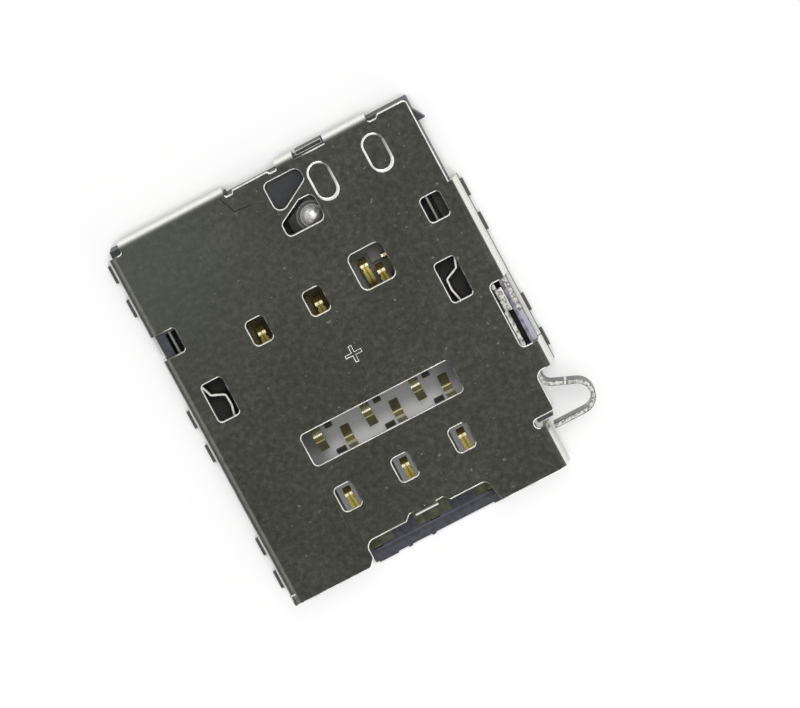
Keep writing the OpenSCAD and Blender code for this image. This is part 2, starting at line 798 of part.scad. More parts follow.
// Flat outline of the lever: a hub cut off on its rear side, a long arm to the rod, a short one to the tray
module lever_outline() {
    difference() {
        circle(r = hub_r, $fn = 64);
        rotate(arm_rise)
            translate([-2 * hub_r, hub_cut])
                square([4 * hub_r, hub_r]);
    }
    lever_arm([0, 0], hub_cut, long_knee, long_knee_r, [lever_reach, lever_tip_rise], tip_r);
    lever_arm(short_root, short_root_r, short_knee, short_tip_r, short_tip, short_tip_r);
}

module eject_lever() {
    color(bright)
        translate([pivot_x, pivot_y, lever_z])
            difference() {
                union() {
                    linear_extrude(lever_t)
                        lever_outline();
                    for (ring = hub_rings)
                        intersection() {
                            cylinder(h = lever_t + ring[1], r = ring[0], $fn = 64);
                            rotate(arm_rise)
                                block([-hub_r, -hub_r, 0], [hub_r, hub_cut - lap, overall_h]);
                        }
                }
                translate([0, 0, -through])
                    cylinder(h = 2 * through, r = pivot_r + pivot_gap, $fn = 64);
            }
}

// Rivet with a domed head over the lever's hub
module lever_pivot() {
    head_z = lever_z + lever_t + 0.07;
    head_r = pivot_r + 0.1;
    head_h = under - 0.02 - head_z;
    dome_r = (head_r * head_r + head_h * head_h) / (2 * head_h);
    color(bright)
        translate([pivot_x, pivot_y, 0]) {
            cylinder(h = head_z + lap, r = pivot_r, $fn = 64);
            translate([0, 0, head_z])
                intersection() {
                    cylinder(h = head_h, r = head_r, $fn = 64);
                    translate([0, 0, head_h - dome_r])
                        sphere(r = dome_r, $fn = 64);
                }
        }
}

// Eject rod layout: strip on edge with a hooked front end and a folded tab
rod_z = [floor_t + 0.04, under - 0.08];
hook_x = rod_x + 1.54;
hook_y = slit_y - 0.24;
hook_line = [
    [rod_x, rod_end_y, 0],
    [rod_x, notch_y[1] - 0.62, 0.42],
    [hook_x, notch_y[1] - 1.26, 0.6],
    [hook_x, hook_y, 0.62],
    [notch_x - 0.3, hook_y, 0]
];
rod_tab_z = overall_h - 0.13;
rod_tab_x = rod_outer_x - 0.03;

module eject_rod() {
    tab_line = [
        [rod_x, overall_h / 2, 0],
        [rod_x, rod_tab_z, 0.12],
        [rod_tab_x, rod_tab_z, 0]
    ];
    color(bright) {
        translate([0, 0, rod_z[0]])
            linear_extrude(rod_z[1] - rod_z[0])
                polygon(strip(hook_line, rod_t));
        along_y(strip(tab_line, rod_t - 0.02), rod_tab_y[0], rod_tab_y[1]);
    }
}

// Latch spring on side s of the slot: a strip on edge with a hump that holds the tray
spring_z = [floor_t + 0.03, under - 0.08];
hump = slot_w / 2 - 0.53;

module latch_spring(s) {
    spring_line = [
        [spring_x, spring_seat_y[1], 0],
        [spring_x, spring_mid_y + 1.75, 0.3],
        [hump + 0.54, spring_mid_y + 1, 0.12],
        [hump, spring_mid_y + 0.76, 0.12],
        [hump - 0.02, spring_mid_y + 0.3, 0.6],
        [hump + 0.22, spring_mid_y - 0.7, 0.5],
        [hump + 0.52, spring_mid_y - 1.3, 0]
    ];
    color(bright)
        translate([slot_cx, 0, spring_z[0]])
            mirror([s < 0 ? 1 : 0, 0, 0])
                linear_extrude(spring_z[1] - spring_z[0])
                    polygon(strip(spring_line, spring_t));
}

shell();
housing();
rear_contact(sim_columns[0], rear_base_w);  // sim_contact_1
rear_contact(sim_columns[1], rear_base_w);  // sim_contact_2
rear_contact(corner_contact_x, narrow_base_w);  // sim_contact_3
front_contact(sim_columns[0]);  // sim_contact_4
front_contact(sim_columns[1]);  // sim_contact_5
front_contact(sim_columns[2]);  // sim_contact_6
row_contact(row_xs[0], true);  // row_contact_1
row_contact(row_xs[1], false);  // row_contact_2
row_contact(row_xs[2], true);  // row_contact_3
row_contact(row_xs[3], false);  // row_contact_4
row_contact(row_xs[4], true);  // row_contact_5
row_contact(row_xs[5], false);  // row_contact_6
card_contact(detect_x, detect_y, narrow_base_w, folded_foot);  // detect_contact
detect_terminal();
eject_lever();
lever_pivot();
eject_rod();
latch_spring(-1);  // latch_spring_left
latch_spring(1);  // latch_spring_right
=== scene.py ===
import math

import bpy
import numpy as np
from mathutils import Matrix, Vector


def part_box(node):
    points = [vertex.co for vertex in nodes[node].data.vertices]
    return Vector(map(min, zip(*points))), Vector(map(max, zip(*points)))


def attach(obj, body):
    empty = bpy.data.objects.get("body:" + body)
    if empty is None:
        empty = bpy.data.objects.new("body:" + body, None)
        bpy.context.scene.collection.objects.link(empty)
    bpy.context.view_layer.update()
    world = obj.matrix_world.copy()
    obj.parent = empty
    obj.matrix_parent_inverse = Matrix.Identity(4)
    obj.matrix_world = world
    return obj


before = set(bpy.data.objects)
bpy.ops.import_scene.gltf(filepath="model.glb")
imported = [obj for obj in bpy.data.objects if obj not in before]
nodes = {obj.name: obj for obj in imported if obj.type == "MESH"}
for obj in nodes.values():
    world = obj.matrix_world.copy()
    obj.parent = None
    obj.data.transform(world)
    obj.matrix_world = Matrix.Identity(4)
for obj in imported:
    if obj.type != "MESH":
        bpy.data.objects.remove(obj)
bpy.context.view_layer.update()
mm = 0.001


# The view: the connector lies flat on its solder side and is seen from almost straight above,
# turned so that the card entry points down and to the left of the picture.
view_turn = math.radians(27.8)
view_tilt = math.radians(10)
view_target = Vector((1.67, -0.98, 1.4)) * mm
view_distance = 250 * mm
view_width = 31.5 * mm
sensor_width = 36

ahead = Vector((math.sin(view_turn), math.cos(view_turn), 0))
across = Vector((math.cos(view_turn), -math.sin(view_turn), 0))
up = Vector((0, 0, 1))
towards_eye = math.sin(view_tilt) * ahead + math.cos(view_tilt) * up
picture_up = math.cos(view_tilt) * ahead - math.sin(view_tilt) * up

lens = bpy.data.cameras.new("eye")
lens.sensor_width = sensor_width
lens.lens = sensor_width * view_distance / view_width
lens.clip_start = 10 * mm
lens.clip_end = 10
eye = bpy.data.objects.new("eye", lens)
eye.matrix_world = (Matrix.Translation(view_target + view_distance * towards_eye)
                    @ Matrix((across, picture_up, towards_eye)).transposed().to_4x4())
bpy.context.scene.collection.objects.link(eye)
bpy.context.scene.camera = eye


# The white table: it takes the connector's soft shadow from the lamps and is white where nothing shades it.
# Its paint and glow also carry painted shade: darker close around the connector, and dark grey where it shows
# through the windows and the opened floor under the shell.
table_half = 400 * mm
table_drop = 0.02 * mm


def srgb(red, green, blue):
    """A colour of 0 to 255 values as linear light: c / 12.92 or ((c + 0.055) / 1.055) ** 2.4."""
    share = np.array([red, green, blue]) / 255
    linear = np.where(share < 0.04045, share / 12.92, ((share + 0.055) / 1.055) ** 2.4)
    return (*linear.tolist(), 1)


class Wire:
    """An output socket of a shader tree, so that sums of shares and tones read as sums.

    Each operator adds one Math node. Colours are given as red, green and blue of 0 to 255.
    """

    def __init__(self, tree, socket=None):
        self.tree = tree
        self.socket = socket

    def node(self, kind, settings=None, output=0, **sockets):
        """Adds a node of any kind. Its inputs are given by name, or as i and their number."""
        made = self.tree.nodes.new(kind)
        for name, value in (settings or {}).items():
            setattr(made, name, value)
        for name, value in sockets.items():
            numbered = name[0] == "i" and name[1:].isdigit()
            plug = made.inputs[int(name[1:]) if numbered else name.replace("_", " ")]
            if isinstance(value, Wire):
                self.tree.links.new(value.socket, plug)
            else:
                plug.default_value = value
        return Wire(self.tree, made.outputs[output])

    def math(self, operation, a, b=0.0):
        return self.node("ShaderNodeMath", {"operation": operation}, i0=a, i1=b)

    def __add__(self, other):
        return self.math("ADD", self, other)

    def __radd__(self, other):
        return self.math("ADD", other, self)

    def __sub__(self, other):
        return self.math("SUBTRACT", self, other)

    def __rsub__(self, other):
        return self.math("SUBTRACT", other, self)

    def __mul__(self, other):
        return self.math("MULTIPLY", self, other)

    def __truediv__(self, other):
        return self.math("DIVIDE", self, other)

    def __abs__(self):
        return self.math("ABSOLUTE", self)

    def root(self):
        return self.math("SQRT", self)

    def capped(self, limit):
        return self.math("MINIMUM", self, limit)

    def ramp(self, low, high):
        """A smooth step from 0 at low to 1 at high."""
        return self.node("ShaderNodeMapRange", {"interpolation_type": "SMOOTHSTEP"},
                         Value=self, From_Min=low, From_Max=high)

    def between(self, low, full, fading, end):
        """A smooth step up from low to full, and down again from fading to end."""
        return self.ramp(low, full) * self.ramp(end, fading)

    def noise(self, scale, detail, roughness=0.5):
        return self.node("ShaderNodeTexNoise", Vector=self, Scale=scale, Detail=detail, Roughness=roughness)

    def blend(self, other, factor):
        """This colour mixed with another wire's, or with a plain colour."""
        colour = other if isinstance(other, Wire) else srgb(*other)
        return self.node("ShaderNodeMix", {"data_type": "RGBA"}, output=2, i0=factor, i6=self, i7=colour)

    def tint(self, *stops):
        """The colours that this value runs through, as stops of place, red, green and blue."""
        made = self.node("ShaderNodeValToRGB", Fac=self)
        elements = made.socket.node.color_ramp.elements
        while len(elements) < len(stops):
            elements.new(0.5)
        for element, (place, *colour) in zip(elements, stops):
            element.position = place
            element.color = srgb(*colour)
        return made

    def xyz(self):
        """The three parts of a vector."""
        parts = self.node("ShaderNodeSeparateXYZ", Vector=self).socket.node.outputs
        return [Wire(self.tree, part) for part in parts]

    def in_mm(self):
        """The three parts of a place, in millimetres."""
        return self.node("ShaderNodeVectorMath", {"operation": "SCALE"}, i0=self, Scale=1 / mm).xyz()

    def tilt(self):
        """The three parts of the surface's normal."""
        return self.node("ShaderNodeNewGeometry", output=1).xyz()


def white_surface(name, glow):
    """White paint mixed with plain white light for rays from the eye, from gloss and through glass, both
    darkened by painted shade.
    """
    material = bpy.data.materials.new(name)
    material.use_nodes = True
    tree = material.node_tree
    tree.nodes.clear()
    start = Wire(tree)
    light = start.node("ShaderNodeEmission", Color=(1, 1, 1, 1), Strength=1.04)
    seen = start.node("ShaderNodeLightPath", output=0)
    glossy = start.node("ShaderNodeLightPath", output=3)
    clear = start.node("ShaderNodeLightPath", output=6)
    x, y, _ = start.node("ShaderNodeTexCoord", output=3).in_mm()
    open_sky = start.node("ShaderNodeAmbientOcclusion", {"samples": 8}, output=1, Distance=3 * mm)
    beside_wall = start.node("ShaderNodeAmbientOcclusion", {"samples": 8}, output=1, Distance=0.5 * mm)
    # Painted shade from here to the mix: darker close around the connector by ambient occlusion, and under the
    # shell set dark levels by place, lowest at the front and at the ends of the middle row.
    contact_shade = (open_sky.ramp(0.35, 0.8) * 0.25 + 0.75) * (beside_wall.ramp(0.5, 0.8) * 0.35 + 0.65)
    in_front = y.ramp(-7.3, -6.9) * 0.14 + 0.04
    left = x.ramp(-3.3, -2.3) * 0.7 + 0.3
    right = 1.0 - x.ramp(1.9, 3.2) * 0.5
    deep = open_sky.ramp(0.0, 0.7) * 0.4 + 0.6
    row_shade = (y.ramp(-2.8, -3.5) * 0.22 + 0.21) * deep * left * right
    shaded = in_front + y.between(-4.2, -4.0, -1.6, -1.4) * (row_shade - in_front)
    under_shell = x.between(-4.6, -4.4, 4.4, 4.6) * y.between(-7.9, -7.85, 1.8, 2.0)
    lit = contact_shade + under_shell * (shaded - contact_shade)
    paint_colour = start.node("ShaderNodeMix", {"data_type": "RGBA"}, output=2, i0=lit,
                              i6=srgb(74, 70, 70), i7=srgb(236, 236, 234))
    paint = start.node("ShaderNodeBsdfDiffuse", Color=paint_colour)
    mixed = start.node("ShaderNodeMixShader", i0=(seen + glossy + clear).capped(1.0) * lit * glow,
                       i1=paint, i2=light)
    shown = tree.nodes.new("ShaderNodeOutputMaterial")
    tree.links.new(mixed.socket, shown.inputs["Surface"])
    return material


def flat_sheet(name, half, height):
    mesh = bpy.data.meshes.new(name)
    corners = [(x * half, y * half, height) for x, y in ((-1, -1), (1, -1), (1, 1), (-1, 1))]
    mesh.from_pydata(corners, [], [(0, 1, 2, 3)])
    sheet = bpy.data.objects.new(name, mesh)
    bpy.context.scene.collection.objects.link(sheet)
    return sheet


table = flat_sheet("table_top", table_half, -table_drop)
table.data.materials.append(white_surface("white_table", 0.8))


# The light: a white room, which is brighter towards the eject rod's side as the metal sees it and
# plain white as the eye sees it, and two wide soft lamps, one behind and one in front.
world = bpy.data.worlds.new("room")
world.use_nodes = True
bpy.context.scene.world = world
room = world.node_tree.nodes["Background"]
room_air = Wire(world.node_tree)
room_seen = room_air.node("ShaderNodeLightPath", output=0)
room_x, _, _ = room_air.node("ShaderNodeTexCoord", output=0).xyz()
room_level = room_x * 0.38 + 0.62
room.inputs["Color"].default_value = (1, 1, 1, 1)
world.node_tree.links.new((room_level + room_seen * (1.0 - room_level)).socket, room.inputs["Strength"])


def soft_lamp(name, place, size, power):
    """A square lamp at place, turned to face the connector."""
    lamp = bpy.data.lights.new(name, "AREA")
    lamp.size = size
    lamp.energy = power
    hung = bpy.data.objects.new(name, lamp)
    hung.location = place
    hung.rotation_euler = (-Vector(place)).to_track_quat("-Z", "Y").to_euler()
    bpy.context.scene.collection.objects.link(hung)


soft_lamp("key", (0.07, 0.13, 0.28), 0.13, 0.36)
soft_lamp("fill", (0.1, -0.22, 0.14), 0.14, 0.2)

bpy.context.scene.view_settings.view_transform = "Standard"


# The shell: one blanked and folded sheet of stainless steel, plated dark on its flat face. Its colour follows
# the tilt of the surface: painted highlights make it bright cream where it turns down over the bends, and its
# solder tabs are bright with grey outer ends.
shell_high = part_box("shell")[1]
shell_top = shell_high.z / mm
tab_bar = 0.12
groove_line = [(-1.69, 7.76), (-1.44, 7.06), (-0.78, 7.0)]


def finish_named(name, **constants):
    """A material with one Principled shader; returns it, its shader and its Object coordinates."""
    material = bpy.data.materials.new(name)
    material.use_nodes = True
    shader = material.node_tree.nodes["Principled BSDF"]
    for socket, value in constants.items():
        shader.inputs[socket].default_value = value
    return material, shader, Wire(material.node_tree).node("ShaderNodeTexCoord", output=3)


def feed(shader, tone, roughness=None):
    """Links the shader's Base Color, and its Roughness where that varies."""
    tone.tree.links.new(tone.socket, shader.inputs["Base Color"])
    if roughness is not None:
        tone.tree.links.new(roughness.socket, shader.inputs["Roughness"])


def dress(node, material):
    """Gives a node of the frame its finish."""
    slots = nodes[node].data.materials
    slots.clear()
    slots.append(material)


def line_share(x, y, start, end, half):
    """1 within half of the segment from a = start to b = end, by the distance |p - a - h (b - a)|.

    h = clamp(((p - a) . (b - a)) / |b - a|^2) is the share of the way along it.
    """
    run = (end[0] - start[0], end[1] - start[1])
    from_x, from_y = x - start[0], y - start[1]
    along = (from_x * run[0] + from_y * run[1]) / (run[0] ** 2 + run[1] ** 2)
    along = along.math("MAXIMUM", along, 0.0).capped(1.0)
    off_x, off_y = from_x - along * run[0], from_y - along * run[1]
    return (off_x * off_x + off_y * off_y).root().ramp(half, 0.5 * half)


shell_steel, shell_shader, spot = finish_named("shell_steel", Metallic=0.85)
x, y, z = spot.in_mm()
tilt_x, _, tilt_z = spot.tilt()
# Painted light: face is 1 on the flat top and 0 where the sheet turns down, where the cream stands for
# highlights.
face = (tilt_z + tilt_x * 0.4).ramp(0.72, 0.98) * z.ramp(shell_top - 0.2, shell_top - 0.18)

mottle = spot.noise(4200, 4, 0.65)
blotch = spot.noise(420, 2)
speck = spot.noise(5200, 1).ramp(0.72, 0.8)
brushed = spot.node("ShaderNodeMapping", Vector=spot, Scale=(7000, 260, 1))
scratch = brushed.noise(1, 2).ramp(0.68, 0.78)
dark = (mottle * 0.8 + blotch * 0.2).tint((0.32, 60, 61, 54), (0.5, 73, 74, 67), (0.68, 88, 90, 82))
dark = dark.blend((150, 152, 142), speck * 0.55).blend((120, 122, 114), scratch * 0.3)
# Painted sheen: the flat face is lighter towards its rear left corner.
dark = dark.blend((98, 102, 95), x.ramp(2.0, -7.0) * y.ramp(-1.0, 7.5) * 0.5)
# Painted shade: a dark line along the groove in the face.
for start, end in zip(groove_line, groove_line[1:]):
    dark = dark.blend((44, 46, 41), line_share(x, y, start, end, 0.035) * 0.8)

cream = mottle.tint((0.3, 228, 228, 218), (0.7, 254, 253, 247))
# Painted light on the walls: darker low down as shade near the table, darker where they face +X, and a painted
# highlight where the bend rounds over.
cream = cream.blend((204, 205, 198), z.ramp(0.95, 0.4) * 0.7)
cream = cream.blend((206, 208, 198), tilt_x.ramp(0.3, 0.7))
cream = cream.blend((255, 255, 250), tilt_z.ramp(0.12, 0.4) * 0.8)
steel_with_painted_light = cream.blend(dark, face)

# Painted light and shade on the left bend: its tones follow the tilt, with a painted highlight line along it.
left_bend = tilt_z.tint((0.0, 214, 214, 208), (0.45, 216, 216, 210), (0.62, 150, 152, 145), (0.78, 96, 98, 92),
                        (0.88, 128, 130, 123), (0.96, 112, 114, 107), (1.0, 78, 80, 73))
left_bend = left_bend.blend((74, 75, 68), mottle.ramp(0.45, 0.6) * tilt_z.ramp(0.4, 0.7) * 0.5)
steel_with_painted_light = steel_with_painted_light.blend(left_bend, tilt_x.ramp(-0.02, -0.12) * z.ramp(0.3, 0.4))
left_line = x.between(-6.66, -6.57, -6.52, -6.42) * tilt_z.ramp(0.5, 0.7)
steel_with_painted_light = steel_with_painted_light.blend((136, 138, 130), left_line * (mottle.ramp(0.3, 0.5) * 0.5 + 0.5))
tab_end = x.math("GREATER_THAN", abs(x), shell_high.x / mm - tab_bar)
feed(shell_shader, steel_with_painted_light.blend((106, 103, 96), tab_end), 0.3 + face * 0.12 + mottle * 0.1)
dress("shell", shell_steel)


# The feet of the right wall and of the short front flange splay outwards below the bend, down to the
# solder tabs. They are part of the folded sheet, lower beside the rod's window.
foot_sections = {
    "tall": [(6.73, 1.0), (6.73, 0.21), (6.9, 0.21), (6.93, 0.24), (6.89, 0.45), (6.83, 0.7), (6.77, 0.92)],
    "low": [(6.73, 0.35), (6.73, 0.21), (6.9, 0.21), (6.93, 0.24), (6.91, 0.35)],
    "front": [(5.43, 1.0), (5.43, 0.21), (5.56, 0.21), (5.59, 0.24), (5.56, 0.45), (5.52, 0.7), (5.47, 0.92)],
}
foot_runs = [(-8.03, -6.21, "front"), (-4.12, -3.03, "tall"), (-3.0, -0.2, "low"), (-0.17, 4.2, "tall")]


def tube_faces(base, count, size, closed):
    """Faces of a tube of count sections with size points each, from vertex base on.

    Point k of section i is vertex base + i size + k. An open tube has a face at each end.
    """
    i = np.arange(count if closed else count - 1)[:, None]
    j = (i + 1) % count
    k = np.arange(size)[None, :]
    m = (k + 1) % size
    quads = np.stack([i * size + k, i * size + m, j * size + m, j * size + k], axis=2)
    faces = (base + quads.reshape(-1, 4)).tolist()
    if not closed:
        last = base + (count - 1) * size
        faces += [list(range(base + size - 1, base - 1, -1)), list(range(last, last + size))]
    return faces


def mesh_of(name, blocks, faces, material):
    mesh = bpy.data.meshes.new(name)
    mesh.from_pydata(np.concatenate(blocks).tolist(), [], faces)
    mesh.materials.append(material)
    return mesh


def ride_on(body, mesh):
    """Adds a mesh to the scene as a piece that moves with a body of the frame."""
    piece = bpy.data.objects.new(mesh.name, mesh)
    bpy.context.scene.collection.objects.link(piece)
    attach(piece, body)


def splayed_foot(name, runs, sections, body, material):
    """Closed ridges along Y, one for each run (start, end, s).

    They hold the points (x, start, z) and (x, end, z) of every point (x, z) of section s.
    """
    blocks, faces = [], []
    for start, end, section in runs:
        outline = np.array(sections[section]) * mm
        row = np.column_stack([outline[:, 0], np.zeros(len(outline)), outline[:, 1]])
        faces += tube_faces(sum(map(len, blocks)), 2, len(outline), False)
        blocks.append(np.concatenate([row + (0, start * mm, 0), row + (0, end * mm, 0)]))
    ride_on(body, mesh_of(name, blocks, faces, material))


splayed_foot("right_wall_foot", foot_runs, foot_sections, "base", shell_steel)


# The sheared rims: where the sheet was blanked, its edge is rolled over and the dark plating is worn off, so
# every window and the small cross are outlined in bright metal. Painted shade darkens the rims that face -X
# and -Y, away from the light.
sheet_thickness = 0.15 * mm


class Rim:
    def __init__(self, points, closed, depth):
        self.points = points
        self.closed = closed
        self.depth = depth


def rims_of(mesh, level, sheet):
    """Chains of points along the rims of the flat at height level.

    The edge p -> q of an upward triangle is part of a rim when the triangle on its other side is
    upright, |n.z| < 0.1. Following q to the next such edge keeps the flat on the left all along.
    A rim is as deep as that upright triangle, or as the sheet is thick where that is less.
    """
    mesh.calc_loop_triangles()
    loose = np.array([v.co for v in mesh.vertices])
    _, first, same = np.unique(np.round(loose / (0.001 * mm)).astype(int), axis=0,
                               return_index=True, return_inverse=True)
    points = loose[first]
    corners = same.reshape(-1)[np.array([t.vertices for t in mesh.loop_triangles])]
    a, b, c = points[corners[:, 0]], points[corners[:, 1]], points[corners[:, 2]]
    normals = np.cross(b - a, c - a)
    normals /= np.linalg.norm(normals, axis=1)[:, None] + 1e-30
    on_level = np.all(np.abs(points[corners][:, :, 2] - level) < 0.002 * mm, axis=1)
    triangle_at = {}
    for i, triangle in enumerate(corners.tolist()):
        for k in range(3):
            triangle_at[triangle[k], triangle[(k + 1) % 3]] = i
    following = {}
    depth = {}
    for i in np.nonzero(on_level & (normals[:, 2] > 0.9))[0]:
        for k in range(3):
            p, q = int(corners[i][k]), int(corners[i][(k + 1) % 3])
            wall = triangle_at.get((q, p))
            if wall is not None and abs(normals[wall][2]) < 0.1:
                following[p] = q
                depth[p] = level - points[corners[wall], 2].min()
    rims = []
    ends = set(following.values())
    starts = [p for p in following if p not in ends]
    while following:
        chain = [starts.pop() if starts else next(iter(following))]
        deep = [depth[chain[0]]]
        while chain[-1] in following:
            chain.append(following.pop(chain[-1]))
            deep.append(depth.get(chain[-1], deep[-1]))
        closed = chain[0] == chain[-1]
        rims.append(Rim(points[chain[:-1] if closed else chain], closed, min(float(np.median(deep)), sheet)))
    return rims


def lip_profile(worn, out, depth):
    """Section of a rolled edge as (a, b): a away from the flat, b up.

    a = -worn .. 0 on the flat, then a = out sin t, b = r (cos t - 1) for t = 0 .. 90 degrees with
    r = 0.4 depth, then straight down to the sheet's underside and back.
    """
    lift = 0.003 * mm
    t = np.linspace(0, math.pi / 2, 6)
    roll = 0.4 * depth
    top = [(-worn, -lift), (-0.7 * worn, lift)]
    arc = list(zip(out * np.sin(t), lift + roll * (np.cos(t) - 1)))
    return np.array(top + arc + [(out, -0.94 * depth), (-0.2 * worn, -0.94 * depth)])


def even_lip(worn, out, depth):
    """The same section for every rim, in millimetres."""
    return lambda rim, mitre: lip_profile(worn * mm, out * mm, depth * mm)


def swept_lips(name, rims, profile_of, body, material):
    """One mesh of profiles carried along the rims.

    Section i stands at p_i, and its a axis is the mitre m = (n1 + n2) / (1 + n1 . n2) of the
    outward normals n1, n2 of the two edges that meet there. The attribute "side" holds m,
    or 0 where the edge is a shallow mark.
    """
    blocks, faces, sides = [], [], []
    for rim in rims:
        path = rim.points[:, :2]
        count = len(path)
        steps = np.roll(path, -1, axis=0) - path
        steps /= np.linalg.norm(steps, axis=1)[:, None] + 1e-30
        out = np.column_stack([steps[:, 1], -steps[:, 0]])
        before = np.roll(out, 1, axis=0)
        if not rim.closed:
            out[-1] = out[-2]
            before[0] = out[0]
        mitre = (before + out) / np.maximum(1 + np.sum(before * out, axis=1), 0.4)[:, None]
        profile = profile_of(rim, mitre)
        size = profile.shape[-2]
        profile = np.broadcast_to(profile, (count, size, 2))
        grid = np.zeros((count, size, 3))
        grid[:, :, :2] = path[:, None, :] + profile[:, :, 0, None] * mitre[:, None, :]
        grid[:, :, 2] = rim.points[:, None, 2] + profile[:, :, 1]
        facing = mitre * (rim.depth > 0.05 * mm)
        sides.append(np.repeat(np.column_stack([facing, np.zeros(count)]), size, axis=0))
        faces += tube_faces(sum(map(len, blocks)), count, size, rim.closed)
        blocks.append(grid.reshape(-1, 3))
    mesh = mesh_of(name, blocks, faces, material)
    mesh.polygons.foreach_set("use_smooth", [True] * len(faces))
    side = mesh.attributes.new("side", "FLOAT_VECTOR", "POINT")
    side.data.foreach_set("vector", np.concatenate(sides).ravel())
    ride_on(body, mesh)


def side_of(spot):
    """The two parts of the attribute that swept_lips writes."""
    return spot.node("ShaderNodeAttribute", {"attribute_name": "side"}, output=1).xyz()[:2]


def shell_lip(rim, mitre):
    """Worn wide where the sheet was cut through, narrow along the cross, which is a shallow mark."""
    worn, out = (0.032, 0.022) if rim.depth > 0.1 * mm else (0.01, 0.02)
    return lip_profile(worn * mm, out * mm, rim.depth)


rim_metal, rim_shader, spot = finish_named("rim_metal", Metallic=0.5, Roughness=0.3)
tilt_x, _, _ = spot.tilt()
side_x, side_y = side_of(spot)
wear = spot.noise(2200, 3)
worn_and_shaded_rim = wear.tint((0.3, 206, 205, 196), (0.6, 252, 251, 246))
# Painted shade: the lips are darker where they tilt towards -X, and darker still along the edges that face -X
# and -Y.
worn_and_shaded_rim = worn_and_shaded_rim.blend((112, 112, 104), tilt_x.ramp(-0.08, -0.5) * 0.85)
turned_from_light = (side_x * -0.9 - side_y * 0.45).ramp(0.6, 0.85)
feed(rim_shader, worn_and_shaded_rim.blend((66, 67, 60), turned_from_light * (wear.ramp(0.35, 0.6) * 0.3 + 0.7)))
shell_rims = rims_of(nodes["shell"].data, shell_high.z, sheet_thickness)
ovals = [rim for rim in shell_rims if 0.05 * mm < rim.depth < 0.1 * mm]
others = [rim for rim in shell_rims if rim not in ovals]
swept_lips("shell_rims", others, shell_lip, "base", rim_metal)


# The walls of the two pressed ovals are drawn smooth, not cut. Their tone follows |m . d| with d along the
# ovals: a painted highlight at their two ends, and painted shade along their sides, darkest on the side that
# faces -X.
def oval_lip(rim, mitre):
    """Wider towards the front end of the oval: worn = 0.022 + 0.06 max(0, m . d) mm."""
    worn = 0.022 + 0.06 * np.maximum(mitre @ np.array([-0.5, 0.87]), 0)
    return np.array([lip_profile(share * mm, 0.07 * mm, rim.depth) for share in worn])


oval_metal, oval_shader, spot = finish_named("oval_metal", Metallic=0.5, Roughness=0.3)
side_x, side_y = side_of(spot)
end_on = abs(side_y * 0.92 - side_x * 0.4)
painted_oval_shine = spot.noise(2200, 3).tint((0.3, 226, 225, 216), (0.6, 255, 254, 250))
painted_oval_shine = painted_oval_shine.blend((150, 150, 142), end_on.ramp(0.5, 0.15) * side_x.ramp(-0.1, 0.1) * 0.5)
painted_oval_shine = painted_oval_shine.blend((104, 105, 97), end_on.ramp(0.6, 0.2) * side_x.ramp(0.1, -0.1) * 0.9)
feed(oval_shader, painted_oval_shine)
swept_lips("oval_walls", ovals, oval_lip, "base", oval_metal)


# The moulded base: glass-filled nylon in one piece, navy where light reaches it. Painted shade makes it nearly
# black deep inside, and painted light makes it paler where the rod's window bares its wall.
navy_plastic, plastic_shader, spot = finish_named("navy_plastic", Metallic=0.0, Roughness=0.5)
x, y, z = spot.in_mm()
grain = spot.noise(4200, 2)
navy = grain.tint((0.3, 44, 46, 54), (0.7, 64, 68, 77))

inside = y.ramp(-7.3, -6.9) * x.ramp(6.3, 6.2)
# Painted shade: nearly black deep inside and dark on the top of the rear block; a painted gold reflection
# behind the rear card contacts; painted light, pale grey, on the floor under the square window.
deep = inside * z.ramp(0.95, 0.6)
behind_contacts = deep * x.between(-3.6, -3.4, 0.4, 0.6) * y.between(1.2, 1.4, 3.4, 3.6)
under_square = x.between(1.3, 1.5, 3.3, 3.5) * y.between(1.6, 1.8, 3.6, 4.0) * z.ramp(0.5, 0.4)
block_top = inside * z.ramp(0.95, 1.05) * y.ramp(5.2, 5.6)
navy = navy.blend((38, 35, 25), deep * 0.85).blend((104, 90, 48), behind_contacts * 0.85)
navy = navy.blend((124, 123, 117), under_square * 0.9).blend((42, 43, 46), block_top * 0.8)

# Painted light: the wall that the rod's window bares is paler, and its outer face lighter still, with a coarse
# speckle towards the rear.
window_wall = x.ramp(6.36, 6.42) * y.between(-3.15, -3.05, -0.2, -0.1) * z.ramp(0.9, 1.0)
outer_wall = window_wall * x.ramp(6.56, 6.6)
rear_part = y.ramp(-1.8, -1.7)
pale = grain.tint((0.35, 96, 94, 112), (0.65, 150, 147, 160))
torn = spot.noise(7000, 3, 0.7).tint((0.4, 104, 101, 96), (0.58, 216, 213, 204))
navy = navy.blend(pale, window_wall * 0.9).blend(torn, outer_wall * rear_part)
navy = navy.blend((176, 178, 188), outer_wall * (1.0 - rear_part) * 0.8)

# Painted light: the front pockets are lighter below the shell, and a painted highlight runs along the sill's
# edge.
front_pocket = inside * y.between(-7.0, -6.8, -4.2, -4.0) * z.ramp(1.0, 0.95)
sill_line = line_share(x, y, (-2.9, -7.72), (2.2, -7.72), 0.03)
navy = navy.blend((104, 102, 94), front_pocket * 0.5).blend((104, 106, 116), sill_line * 0.5)
feed(plastic_shader, navy)
dress("housing", navy_plastic)

# The rims of the lug that shows between the rear flanges: they are part of the moulding, and the pale strips
# along them are a painted highlight on its top edge.
lug_edge_highlight, edge_shader, spot = finish_named("lug_edge_highlight", Metallic=0.0, Roughness=0.35)
feed(edge_shader, spot.noise(4200, 2).tint((0.3, 170, 168, 162), (0.7, 214, 212, 206)))
swept_lips("rear_lug_edge", rims_of(nodes["housing"].data, 1.19 * mm, 0.1 * mm), even_lip(0.03, 0.008, 0.06),
           "base", lug_edge_highlight)


